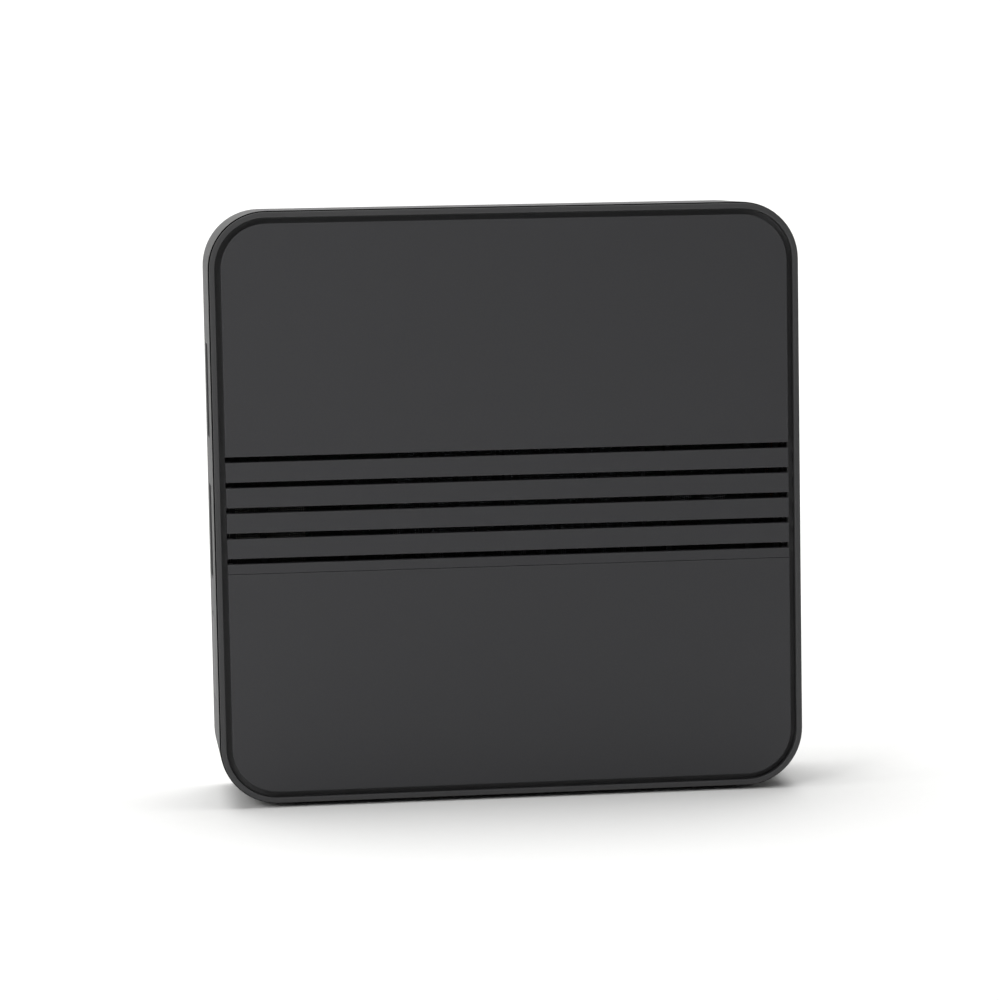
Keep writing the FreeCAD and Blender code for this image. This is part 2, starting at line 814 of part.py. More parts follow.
# ---- antennas -----------------------------------------------------------------------------------
def antenna_strip_at(x, z, upright, grow=0.0):
    """Flat antenna strip standing in its rails; `grow` makes the rails' grooves."""
    long_side = antenna_length / 2 + grow
    thin = antenna_thickness / 2 + grow
    y0, y1 = antenna_y + 1.0 - grow, antenna_y + antenna_strip - 1.0 + grow
    if upright:
        middle = x + antenna_thickness
        return block(middle - thin, middle + thin, y0, y1, z - long_side, z + long_side)
    middle = z + math.copysign(antenna_thickness, z)
    return block(x - long_side, x + long_side, y0, y1, middle - thin, middle + thin)


def lead_route(x, z, upright):
    """Bends of one antenna lead, from the strip's middle down to its connector on the board."""
    if upright:
        start = V(x - 0.4, lead_y, z)
        knee = V(x - 8.0, lead_y, z)
    else:
        start = V(x, lead_y, z - math.copysign(0.4, z))
        knee = V(x, lead_y, z - math.copysign(11.0, z))
    return [start, knee, V(knee.x, board_front - socket_rise, knee.z)]


def lead_section(centre, heading):
    """Six-sided outline of a lead across its heading, round enough at a millimetre thick."""
    across = heading.cross(V(0, 1, 0)).normalize() * lead_radius
    turn = FreeCAD.Rotation(heading, 60)
    corner_points = [centre + across]
    for _ in range(5):
        across = turn.multVec(across)
        corner_points.append(centre + across)
    return Part.makePolygon(corner_points + corner_points[:1])


def antenna_leads():
    """Thin coaxial leads, one from each antenna to the board, with a round bend halfway."""
    leads = []
    for x, z, upright in antenna_places().values():
        start, knee, end = lead_route(x, z, upright)
        before = knee + (start - knee).normalize() * lead_bend
        after = knee + (end - knee).normalize() * lead_bend
        inward = (start - knee).normalize() + (end - knee).normalize()
        middle = knee + inward * lead_bend * (1 - math.sqrt(0.5))
        path = Part.Wire([Part.makeLine(start, before), Part.Arc(before, middle, after).toShape(),
                          Part.makeLine(after, end)])
        leads.append(path.makePipeShell([lead_section(start, before - start)], True, False))
    return Part.makeCompound(leads)


def antenna_sockets():
    """Small square-based coaxial connectors at the leads' ends."""
    sockets = []
    half = socket_size / 2
    for x, z, upright in antenna_places().values():
        end = lead_route(x, z, upright)[-1]
        sockets.append(block(end.x - half, end.x + half, end.y, board_front, end.z - half, end.z + half))
    return Part.makeCompound(sockets)


# ---- every piece by name --------------------------------------------------------------------------
def all_pieces():
    """Each separate piece, named as its file."""
    pieces = {
        "rear_housing": rear_housing(),
        "joint_gasket": joint_gasket(),
        "front_frame": front_frame(),
        "upper_fascia": upper_fascia(),
        "lower_fascia": lower_fascia(),
        "dust_screen": dust_screen(),
        "rubber_foot_left": rubber_foot(-1),
        "rubber_foot_right": rubber_foot(1),
        "rating_label": rating_label(),
        "casing_screws": casing_screws(),
        "ethernet_contacts": jack_contacts(),
        "power_inlet_shell": inlet_receptacle_shell(),
        "power_inlet_tongue": inlet_tongue(),
        "pair_button": pair_button(),
        "pair_switch_body": pair_switch_body(),
        "pair_switch_plunger": pair_switch_plunger(),
        "reset_switch_body": reset_switch_body(),
        "reset_plunger": reset_plunger(),
        "main_board": main_board(),
        "board_screws": board_screws(),
        "wifi_processor": wifi_processor(),
        "memory_chips": memory_chips(),
        "thermal_pad": thermal_pad(),
        "heat_sink": heat_sink(),
        "heat_sink_pins": heat_sink_pins(),
        "network_transformers": network_transformers(),
        "power_coils": power_coils(),
        "power_capacitors": power_capacitors(),
        "status_led": status_led(),
        "light_pipe": light_pipe(),
        "antenna_leads": antenna_leads(),
        "antenna_sockets": antenna_sockets(),
    }
    for name, z in zip(("upper", "lower"), port_heights):
        pieces["port_bezel_" + name] = port_bezel(z)
        pieces["ethernet_shell_" + name] = jack_shell(z)
        pieces["ethernet_insert_" + name] = jack_insert(z)
    for name, x in shield_places.items():
        pieces["radio_shield_" + name] = radio_shield(x)
        pieces["radio_chip_" + name] = radio_chip(x)
    for name, (x, z, upright) in antenna_places().items():
        pieces[name] = antenna_strip_at(x, z, upright)
    return pieces


os.makedirs("parts", exist_ok=True)
to_row_frame = V(0, -depth / 2, half_height + foot_proud)
for node, piece in all_pieces().items():
    piece.translated(to_row_frame).exportStep("parts/" + node + ".step")
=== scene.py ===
"""Looks of a mesh wifi node: a square upright slab in dark grey moulded plastic.

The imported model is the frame. Visible mouldings are copies of its solids with their edges rounded
as a mould leaves them; what repeats (screen wires, screws, small parts on the board) is made by
Geometry Nodes. Everything is in metres: +Z up, front panel facing -Y, ports on the -X wall.
"""
import json
import math

import bmesh
import bpy
from bpy.props import FloatProperty, FloatVectorProperty, IntProperty, PointerProperty
from mathutils import Matrix, Vector
from mathutils.geometry import delaunay_2d_cdt


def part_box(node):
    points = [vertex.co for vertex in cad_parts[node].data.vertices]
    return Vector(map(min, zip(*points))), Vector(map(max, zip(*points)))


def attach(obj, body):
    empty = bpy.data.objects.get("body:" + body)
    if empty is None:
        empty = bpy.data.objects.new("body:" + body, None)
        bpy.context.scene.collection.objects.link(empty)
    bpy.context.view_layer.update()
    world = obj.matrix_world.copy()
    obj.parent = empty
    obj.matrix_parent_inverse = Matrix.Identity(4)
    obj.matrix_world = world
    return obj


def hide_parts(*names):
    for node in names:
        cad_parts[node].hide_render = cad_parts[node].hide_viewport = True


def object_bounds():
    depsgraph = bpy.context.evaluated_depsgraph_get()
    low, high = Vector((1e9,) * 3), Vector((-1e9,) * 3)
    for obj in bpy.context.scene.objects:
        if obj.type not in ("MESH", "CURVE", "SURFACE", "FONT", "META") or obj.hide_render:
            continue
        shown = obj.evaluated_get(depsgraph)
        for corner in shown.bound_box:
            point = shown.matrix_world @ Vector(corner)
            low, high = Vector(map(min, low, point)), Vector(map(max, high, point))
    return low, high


bl_info = {
    "name": "Mesh wifi node",
    "version": (1, 0, 0),
    "blender": (4, 5, 0),
    "location": "View3D > Sidebar > Wifi node",
    "description": "Builds the casing, ports, screen, screws, board and stage of a mesh wifi node",
    "category": "Object",
}

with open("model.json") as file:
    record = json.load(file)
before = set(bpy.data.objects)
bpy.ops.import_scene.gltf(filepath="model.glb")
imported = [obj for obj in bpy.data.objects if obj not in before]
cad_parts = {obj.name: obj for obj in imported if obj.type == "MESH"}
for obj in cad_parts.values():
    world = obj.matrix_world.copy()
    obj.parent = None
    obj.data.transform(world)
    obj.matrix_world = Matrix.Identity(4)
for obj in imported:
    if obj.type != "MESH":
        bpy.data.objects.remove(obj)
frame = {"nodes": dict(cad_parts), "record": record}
CAD_LOW, CAD_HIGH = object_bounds()
NODES = frame["nodes"]
BODIES = frame["record"]["behaviour"]["bodies"]
BODY_OF = {node: body for body, nodes in BODIES.items() for node in nodes}
SLOT_OF = {part["node"]: part["material_slot"] for part in frame["record"]["subparts"]}
MM = 0.001
SHARP = math.radians(38)  # edges that turn by more than this are rounded


def linear(hex_colour):
    """Linear RGBA of an sRGB hex colour."""
    channels = [int(hex_colour[i:i + 2], 16) / 255 for i in (1, 3, 5)]
    return (*(c / 12.92 if c <= 0.04045 else ((c + 0.055) / 1.055) ** 2.4 for c in channels), 1.0)


def length(label, words, millimetres):
    """A length property, given in millimetres."""
    return FloatProperty(name=label, description=words, default=millimetres * MM, min=0.0,
                         precision=5, subtype="DISTANCE", unit="LENGTH")


def power(label, words, watts):
    """A light's power, given in watts."""
    return FloatProperty(name=label, description=words, default=watts, min=0.0, unit="POWER")


def angle(label, words, degrees):
    """An angle property, given in degrees."""
    return FloatProperty(name=label, description=words, default=math.radians(degrees),
                         subtype="ANGLE", unit="ROTATION")


def colour(label, words, hex_colour):
    """A colour property, given as sRGB hex."""
    return FloatVectorProperty(name=label, description=words, default=linear(hex_colour), size=4,
                               min=0.0, max=1.0, subtype="COLOR")


# ---- what a user can change ---------------------------------------------------------------------
class WifiNodeSizes(bpy.types.PropertyGroup):
    """Sizes of edges, textures and repeated details."""
    casing_edge: length("Casing edge", "Radius on the rear housing's edges", 0.15)
    rear_edge: length("Rear edge", "Radius on the rear wall's chamfer", 0.5)
    rim_edge: length("Rim edge", "Radius on the rim's and the trench's edges", 0.14)
    fascia_edge: length("Fascia edge", "Radius on the fascia's edges and its louvre slots", 0.12)
    button_edge: length("Button edge", "Radius on the bar button's edges", 0.2)
    bezel_edge: length("Bezel edge", "Radius on the port bezels' edges", 0.12)
    # the joint gasket is a near-black ring that paints the shadow of the seam's gap
    gap_shade_ring_edge: length("Gasket edge", "Radius on the joint gasket's edges", 0.08)
    label_edge: length("Label edge", "Radius on the label's edges", 0.03)
    insert_edge: length("Insert edge", "Radius on the jack inserts' edges", 0.06)
    shell_edge: length("Shell edge", "Radius on the jack shells' edges", 0.05)
    inlet_edge: length("Inlet edge", "Radius on the power inlet shell's edges", 0.08)
    tongue_edge: length("Tongue edge", "Radius on the power inlet tongue's edges", 0.05)
    grain: length("Casing grain", "Width of one grain of the spark-eroded texture", 0.22)
    grain_depth: length("Grain depth", "Depth of the spark-eroded texture", 0.012)
    wire_pitch: length("Screen pitch", "Distance between the screen's wires", 0.45)
    wire_size: length("Screen wire", "Thickness of one wire of the screen", 0.2)
    passive_length: length("Small part length", "Length of one small chip part on the board", 1.6)
    passive_pitch: length("Small part pitch", "Distance between small chip parts", 3.1)
    passive_seed: IntProperty(name="Small part seed", default=7, min=0,
                              description="Seed for which places stay empty")
    thread_pitch: length("Screw thread", "Pitch of the casing screws' thread", 0.9)


class WifiNodeColours(bpy.types.PropertyGroup):
    """Colours of the finishes."""
    housing: colour("Housing", "Rear housing, front frame and button", "#404041")
    fascia: colour("Fascia", "Slotted panel and the plain panel below it", "#38383a")
    black: colour("Black plastic", "Port bezels, jack bodies and switches", "#0c0c0d")
    # near-black on the joint gasket is painted shade for the gap between front frame and rear
    # housing; the feet take it lighter as their own rubber
    rubber_and_gap_shade: colour("Rubber", "Joint gasket and feet", "#090909")
    screen: colour("Screen", "Woven screen behind the louvre slots", "#444445")
    mask: colour("Solder mask", "Circuit board", "#10402a")
    label: colour("Label", "Blank label on the rear wall", "#8a8b8c")
    floor: colour("Floor", "Studio floor and sweep", "#f3f3f2")


class WifiNodeStage(bpy.types.PropertyGroup):
    """Camera and lights."""
    lens: FloatProperty(name="Lens", description="Focal length in mm on a 36 mm sensor",
                        default=126.2, min=10.0)
    turn: angle("Camera turn", "How far left of the front the camera stands", 6.83)
    rise: angle("Camera rise", "How far the camera looks down", 5.68)
    roll: angle("Camera roll", "Turn about the camera's line of sight", 1.0)
    distance: length("Camera distance", "From the camera to the front panel's middle", 770.5)
    aim_left: length("Aim left", "How far left of the panel's middle the camera aims", 2.29)
    aim_up: length("Aim up", "How far above the panel's middle the camera aims", 0.66)
    key: power("Key light", "Power of the soft light at the left", 1.5)
    top: power("Top light", "Power of the soft light overhead", 3.5)
    back: power("Backdrop light", "Power of the light on the wall of the sweep", 36.0)
    fill: power("Fill light", "Power of the small soft light left of the camera", 1.9)
    room: FloatProperty(name="Room light", description="Strength of the even light all round",
                        default=0.15, min=0.0)


def sizes():
    """Sizes set on the scene."""
    return bpy.context.scene.wifi_node_sizes


def colours():
    """Colours set on the scene."""
    return bpy.context.scene.wifi_node_colours


# ---- materials ----------------------------------------------------------------------------------
def fill(tree, node, inputs):
    """Fills a node's inputs with values or links."""
    for name, value in inputs.items():
        if isinstance(value, bpy.types.NodeSocket):
            tree.links.new(value, node.inputs[name])
        else:
            node.inputs[name].default_value = value


def add(tree, kind, inputs=None, **settings):
    """Adds a node, sets its properties, then fills its inputs."""
    node = tree.nodes.new(kind)
    for name, value in settings.items():
        setattr(node, name, value)
    fill(tree, node, inputs or {})
    return node


def surface(name):
    """New material with an empty node tree, its Principled shader and its object coordinates."""
    material = bpy.data.materials.new(name)
    material.use_nodes = True
    tree = material.node_tree
    tree.nodes.clear()
    shader = add(tree, "ShaderNodeBsdfPrincipled")
    add(tree, "ShaderNodeOutputMaterial", {"Surface": shader.outputs["BSDF"]})
    place = add(tree, "ShaderNodeTexCoord").outputs["Object"]
    return material, tree, shader, place


def per_metre(millimetres):
    """Texture scale whose features are this many millimetres wide."""
    return 1.0 / (millimetres * MM)


def scaled(rgba, factor):
    """The colour made lighter or darker."""
    return tuple(min(1.0, c * factor) for c in rgba[:3]) + (1.0,)


def spark_eroded_plastic(name, rgba, roughness=0.56):
    """Moulded PC-ABS from a spark-eroded mould: an even matt grain, with a slight cloudiness from
    the flow of the melt and edges rubbed a little lighter by handling. The real grain is about
    0.1 mm wide, and is drawn about twice as coarse so that it shows."""
    material, tree, shader, place = surface(name)
    grain_mm, cloud_mm, scuff_mm, rubbed = sizes().grain / MM, 38.0, 6.0, 0.45 * MM
    grain = add(tree, "ShaderNodeTexNoise", {
        "Vector": place, "Scale": per_metre(grain_mm * 2), "Detail": 2.0,
        "Roughness": 0.6}).outputs["Fac"]
    pits = add(tree, "ShaderNodeTexVoronoi", {
        "Vector": place, "Scale": per_metre(grain_mm * 1.6)}, feature="SMOOTH_F1")
    relief = add(tree, "ShaderNodeMath", {0: grain, 1: pits.outputs["Distance"]},
                 operation="ADD").outputs["Value"]
    flow = add(tree, "ShaderNodeTexNoise", {
        "Vector": place, "Scale": per_metre(cloud_mm), "Detail": 3.0})
    rounded = add(tree, "ShaderNodeBevel", {"Radius": rubbed}, samples=4)
    flat = add(tree, "ShaderNodeNewGeometry")
    facing = add(tree, "ShaderNodeVectorMath", {
        0: rounded.outputs["Normal"], 1: flat.outputs["Normal"]}, operation="DOT_PRODUCT")
    edge = add(tree, "ShaderNodeMapRange", {
        "Value": facing.outputs["Value"], "From Min": 0.995, "From Max": 0.86})
    scuffs = add(tree, "ShaderNodeTexNoise", {
        "Vector": place, "Scale": per_metre(scuff_mm), "Detail": 4.0})
    worn = add(tree, "ShaderNodeMath", {
        0: edge.outputs["Result"], 1: scuffs.outputs["Fac"]}, operation="MULTIPLY")
    speckle = add(tree, "ShaderNodeMix", {
        "Factor": grain, "A": scaled(rgba, 0.93), "B": scaled(rgba, 1.07)}, data_type="RGBA")
    cloud = add(tree, "ShaderNodeMix", {
        "Factor": flow.outputs["Fac"], "A": scaled(rgba, 0.97),
        "B": scaled(rgba, 1.03)}, data_type="RGBA")
    mixed = add(tree, "ShaderNodeMix", {
        "Factor": 0.5, "A": speckle.outputs["Result"],
        "B": cloud.outputs["Result"]}, data_type="RGBA")
    final = add(tree, "ShaderNodeMix", {
        "Factor": worn.outputs["Value"], "A": mixed.outputs["Result"],
        "B": scaled(rgba, 1.28)}, data_type="RGBA")
    gloss = add(tree, "ShaderNodeMapRange", {
        "Value": relief, "From Min": 0.3, "From Max": 1.3,
        "To Min": roughness + 0.06, "To Max": roughness - 0.05})
    bump = add(tree, "ShaderNodeBump", {
        "Height": relief, "Strength": 0.35, "Distance": sizes().grain_depth})
    fill(tree, shader, {
        "Base Color": final.outputs["Result"], "Roughness": gloss.outputs["Result"],
        "Normal": bump.outputs["Normal"], "IOR": 1.54, "Specular IOR Level": 0.3})
    return material


def matt_elastomer(name, rgba):
    """Compression-moulded TPE: nearly no gloss, a dusty bloom in patches."""
    material, tree, shader, place = surface(name)
    patch_mm, skin_mm = 5.0, 0.3
    bloom = add(tree, "ShaderNodeTexNoise", {
        "Vector": place, "Scale": per_metre(patch_mm), "Detail": 5.0})
    skin = add(tree, "ShaderNodeTexNoise", {
        "Vector": place, "Scale": per_metre(skin_mm), "Detail": 2.0})
    tone = add(tree, "ShaderNodeMix", {
        "Factor": bloom.outputs["Fac"], "A": scaled(rgba, 0.8),
        "B": scaled(rgba, 1.35)}, data_type="RGBA")
    bump = add(tree, "ShaderNodeBump", {
        "Height": skin.outputs["Fac"], "Strength": 0.3, "Distance": 0.02 * MM})
    fill(tree, shader, {
        "Base Color": tone.outputs["Result"], "Normal": bump.outputs["Normal"],
        "Roughness": 0.95, "Specular IOR Level": 0.12, "IOR": 1.5})
    return material


def polished_mould_plastic(name, rgba, roughness=0.34):
    """Moulded LCP or PBT from a ground mould: satin black, with faint flow lines and dust."""
    material, tree, shader, place = surface(name)
    flow_mm = 2.5
    flow = add(tree, "ShaderNodeTexNoise", {
        "Vector": place, "Scale": per_metre(flow_mm), "Detail": 4.0,
        "Distortion": 0.8}).outputs["Fac"]
    tone = add(tree, "ShaderNodeMix", {
        "Factor": flow, "A": scaled(rgba, 0.85), "B": scaled(rgba, 1.3)}, data_type="RGBA")
    gloss = add(tree, "ShaderNodeMapRange", {
        "Value": flow, "To Min": roughness - 0.06, "To Max": roughness + 0.12})
    bump = add(tree, "ShaderNodeBump", {
        "Height": flow, "Strength": 0.15, "Distance": 0.02 * MM})
    fill(tree, shader, {
        "Base Color": tone.outputs["Result"], "Roughness": gloss.outputs["Result"],
        "Normal": bump.outputs["Normal"], "IOR": 1.58, "Specular IOR Level": 0.3})
    return material


def plated_metal(name, hex_colour, roughness, grain_mm, stretch=(1, 1, 1)):
    """Plated or rolled sheet metal: fine drawn lines along one direction, and handling haze."""
    material, tree, shader, place = surface(name)
    rgba, haze_mm = linear(hex_colour), 4.0
    drawn = add(tree, "ShaderNodeMapping", {"Vector": place, "Scale": stretch})
    lines = add(tree, "ShaderNodeTexNoise", {
        "Vector": drawn.outputs["Vector"], "Scale": per_metre(grain_mm),
        "Detail": 3.0}).outputs["Fac"]
    haze = add(tree, "ShaderNodeTexNoise", {
        "Vector": place, "Scale": per_metre(haze_mm), "Detail": 4.0}).outputs["Fac"]
    tone = add(tree, "ShaderNodeMix", {
        "Factor": haze, "A": scaled(rgba, 0.86), "B": scaled(rgba, 1.08)}, data_type="RGBA")
    both = add(tree, "ShaderNodeMath", {0: lines, 1: haze}, operation="MULTIPLY")
    gloss = add(tree, "ShaderNodeMapRange", {
        "Value": both.outputs["Value"], "To Min": roughness - 0.08, "To Max": roughness + 0.2})
    bump = add(tree, "ShaderNodeBump", {
        "Height": lines, "Strength": 0.2, "Distance": 0.01 * MM})
    fill(tree, shader, {
        "Base Color": tone.outputs["Result"], "Roughness": gloss.outputs["Result"],
        "Normal": bump.outputs["Normal"], "Metallic": 1.0})
    return material


def masked_laminate():
    """FR-4 laminate under green solder mask: copper runs show as lighter, raised tracks."""
    material, tree, shader, place = surface("solder_masked_laminate")
    rgba, track_mm, weave_mm = colours().mask, 4.2, 0.5
    tracks = add(tree, "ShaderNodeTexVoronoi", {
        "Vector": place, "Scale": per_metre(track_mm), "Randomness": 0.55},
        feature="DISTANCE_TO_EDGE", distance="MANHATTAN")
    run = add(tree, "ShaderNodeMapRange", {
        "Value": tracks.outputs["Distance"], "From Min": 0.05, "From Max": 0.09,
        "To Min": 1.0, "To Max": 0.0}).outputs["Result"]
    weave = add(tree, "ShaderNodeTexNoise", {
        "Vector": place, "Scale": per_metre(weave_mm), "Detail": 2.0})
    base = add(tree, "ShaderNodeMix", {
        "Factor": weave.outputs["Fac"], "A": scaled(rgba, 0.8),
        "B": scaled(rgba, 1.15)}, data_type="RGBA")
    tone = add(tree, "ShaderNodeMix", {
        "Factor": run, "A": base.outputs["Result"], "B": scaled(rgba, 1.9)}, data_type="RGBA")
    bump = add(tree, "ShaderNodeBump", {
        "Height": run, "Strength": 0.5, "Distance": 0.035 * MM})
    fill(tree, shader, {
        "Base Color": tone.outputs["Result"], "Normal": bump.outputs["Normal"],
        "Roughness": 0.3, "IOR": 1.55})
    return material


def filled_resin(name, hex_colour):
    """Transfer-moulded epoxy: dull charcoal with the fine sparkle of its glass filler."""
    material, tree, shader, place = surface(name)
    rgba, filler_mm = linear(hex_colour), 0.25
    filler = add(tree, "ShaderNodeTexNoise", {
        "Vector": place, "Scale": per_metre(filler_mm), "Detail": 3.0}).outputs["Fac"]
    tone = add(tree, "ShaderNodeMix", {
        "Factor": filler, "A": scaled(rgba, 0.7), "B": scaled(rgba, 1.4)}, data_type="RGBA")
    bump = add(tree, "ShaderNodeBump", {
        "Height": filler, "Strength": 0.25, "Distance": 0.02 * MM})
    fill(tree, shader, {
        "Base Color": tone.outputs["Result"], "Normal": bump.outputs["Normal"],
        "Roughness": 0.62})
    return material


def soft_silicone():
    """Filled silicone gap pad: chalky blue-grey with a slight sheen."""
    material, tree, shader, place = surface("silicone_gap_pad")
    grit_mm = 0.6
    grit = add(tree, "ShaderNodeTexNoise", {
        "Vector": place, "Scale": per_metre(grit_mm), "Detail": 4.0})
    tone = add(tree, "ShaderNodeMix", {
        "Factor": grit.outputs["Fac"], "A": linear("#7787a0"),
        "B": linear("#93a2b5")}, data_type="RGBA")
    fill(tree, shader, {"Base Color": tone.outputs["Result"], "Roughness": 0.7})
    return material


def clear_polycarbonate():
    """Moulded clear polycarbonate: a bright rod with faint sink ripples."""
    material, tree, shader, place = surface("clear_polycarbonate")
    ripple_mm = 3.0
    ripple = add(tree, "ShaderNodeTexNoise", {
        "Vector": place, "Scale": per_metre(ripple_mm)}).outputs["Fac"]
    bump = add(tree, "ShaderNodeBump", {
        "Height": ripple, "Strength": 0.1, "Distance": 0.05 * MM})
    tint = add(tree, "ShaderNodeMix", {
        "Factor": ripple, "A": linear("#e6ecec"), "B": linear("#f6f8f8")}, data_type="RGBA")
    fill(tree, shader, {
        "Base Color": tint.outputs["Result"], "Normal": bump.outputs["Normal"],
        "Roughness": 0.08, "Transmission Weight": 0.9, "IOR": 1.585})
    return material


def satin_film(name, rgba):
    """Polyester label film: satin, with a faint orange peel from its coating."""
    material, tree, shader, place = surface(name)
    peel_mm = 0.9
    peel = add(tree, "ShaderNodeTexNoise", {
        "Vector": place, "Scale": per_metre(peel_mm), "Detail": 2.0}).outputs["Fac"]
    tone = add(tree, "ShaderNodeMix", {
        "Factor": peel, "A": scaled(rgba, 0.96), "B": scaled(rgba, 1.04)}, data_type="RGBA")
    bump = add(tree, "ShaderNodeBump", {
        "Height": peel, "Strength": 0.15, "Distance": 0.01 * MM})
    fill(tree, shader, {
        "Base Color": tone.outputs["Result"], "Normal": bump.outputs["Normal"],
        "Roughness": 0.42})
    return material


def film_antenna():
    """Flexible circuit: copper under amber polyimide film, seen as bands along the strip."""
    material, tree, shader, place = surface("polyimide_antenna_film")
    band_mm = 22.0
    bands = add(tree, "ShaderNodeTexWave", {
        "Vector": place, "Scale": per_metre(band_mm)}, bands_direction="DIAGONAL")
    edge = add(tree, "ShaderNodeMapRange", {
        "Value": bands.outputs["Fac"], "From Min": 0.45, "From Max": 0.55})
    tone = add(tree, "ShaderNodeMix", {
        "Factor": edge.outputs["Result"], "A": linear("#6a3a17"),
        "B": linear("#b8703a")}, data_type="RGBA")
    fill(tree, shader, {
        "Base Color": tone.outputs["Result"], "Metallic": 0.5, "Roughness": 0.3})
    return material


def painted_sweep():
    """Paper sweep of a studio: even, pale, with the faintest fibre."""
    material, tree, shader, place = surface("paper_sweep")
    rgba, fibre_mm = colours().floor, 3.0
    fibre = add(tree, "ShaderNodeTexNoise", {
        "Vector": place, "Scale": per_metre(fibre_mm), "Detail": 3.0})
    tone = add(tree, "ShaderNodeMix", {
        "Factor": fibre.outputs["Fac"], "A": scaled(rgba, 0.99),
        "B": scaled(rgba, 1.01)}, data_type="RGBA")
    fill(tree, shader, {
        "Base Color": tone.outputs["Result"], "Roughness": 0.9, "Specular IOR Level": 0.1})
    return material


# Each finish by the slot name that the record gives it.
FINISHES = {
    "housing_plastic": lambda: spark_eroded_plastic("spark_eroded_housing", colours().housing),
    "button_plastic": lambda: spark_eroded_plastic("spark_eroded_button",
                                                   scaled(colours().housing, 1.02), 0.5),
    "fascia_plastic": lambda: spark_eroded_plastic("spark_eroded_fascia", colours().fascia, 0.6),
    "black_plastic": lambda: polished_mould_plastic("black_moulded_plastic",
                                                    colours().black, 0.48),
    # the joint gasket's near-black finish is painted shade: it stands in for the shadow in the gap
    # between front frame and rear housing
    "gasket_rubber": lambda: matt_elastomer("gap_shade_elastomer", colours().rubber_and_gap_shade),
    "foot_rubber": lambda: matt_elastomer("foot_elastomer", scaled(colours().rubber_and_gap_shade, 2.4)),
    "screen_mesh": lambda: polished_mould_plastic("black_screen_wire", colours().screen, 0.5),
    "label_film": lambda: satin_film("polyester_label_film", colours().label),
    "screw_steel": lambda: plated_metal("black_zinc_steel", "#66686c", 0.42, 0.4),
    "shield_metal": lambda: plated_metal("tinned_steel_sheet", "#bdbcb6", 0.32, 0.15, (1, 8, 1)),
    "contact_metal": lambda: plated_metal("gold_plated_bronze", "#d9ab4e", 0.25, 0.2, (6, 1, 1)),
    "board_laminate": masked_laminate,
    "chip_resin": lambda: filled_resin("filled_epoxy", "#26262a"),
    "sink_aluminium": lambda: plated_metal("extruded_anodised_aluminium", "#a9adb3", 0.4, 0.25,
                                           (1, 1, 0.05)),
    "pad_silicone": soft_silicone,
    "clear_plastic": clear_polycarbonate,
    "antenna_copper": film_antenna,
    "lead_jacket": lambda: polished_mould_plastic("fluoropolymer_jacket",
                                                  linear("#3a3a3c"), 0.3),
}
made_finishes = {}


def finish_of(slot):
    """Material of a record slot, made once."""
    if slot not in made_finishes:
        made_finishes[slot] = FINISHES[slot]()
    return made_finishes[slot]


# ---- making pieces ------------------------------------------------------------------------------
def settled(thing, name):
    """Plain-mesh object of an object with its modifiers worked out; the source is removed."""
    graph = bpy.context.evaluated_depsgraph_get()
    mesh = bpy.data.meshes.new_from_object(thing.evaluated_get(graph), depsgraph=graph)
    mesh.name = name
    piece = bpy.data.objects.new(name, mesh)
    bpy.context.scene.collection.objects.link(piece)
    old = thing.data
    bpy.data.objects.remove(thing)
    if old.users == 0:
        bpy.data.meshes.remove(old)
    return piece


def object_from(bm, name):
    """Object whose mesh is the given bmesh."""
    mesh = bpy.data.meshes.new(name)
    bm.to_mesh(mesh)
    bm.free()
    thing = bpy.data.objects.new(name, mesh)
    bpy.context.scene.collection.objects.link(thing)
    return thing


def merged_copy(node, name):
    """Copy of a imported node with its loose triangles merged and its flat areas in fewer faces."""
    weld, level = 0.001 * MM, math.radians(0.6)
    bm = bmesh.new()
    bm.from_mesh(NODES[node].data)
    bmesh.ops.remove_doubles(bm, verts=bm.verts, dist=weld)
    bmesh.ops.dissolve_limit(bm, angle_limit=level, verts=bm.verts, edges=bm.edges)
    return object_from(bm, name)


def weigh_edges(thing, radius, softer, soft_radius):
    """Weighs a mesh's sharp edges for the bevel; those that `softer` picks get the larger one."""
    bm = bmesh.new()
    bm.from_mesh(thing.data)
    weight = bm.edges.layers.float.new("bevel_weight_edge")
    for edge in bm.edges:
        if len(edge.link_faces) == 2 and edge.calc_face_angle() > SHARP:
            edge[weight] = 1.0 if softer(edge) else radius / soft_radius
    bm.to_mesh(thing.data)
    bm.free()


def flat_region(start):
    """Faces in one plane with the starting face, reached across shared edges."""
    same_plane = 0.99995  # cosine of about half a degree
    region, waiting = {start: True}, [start]  # a dict keeps the order, so each run is the same
    while waiting:
        face = waiting.pop()
        for edge in face.edges:
            for other in edge.link_faces:
                if other not in region and abs(other.normal.dot(start.normal)) > same_plane:
                    region[other] = True
                    waiting.append(other)
    return region


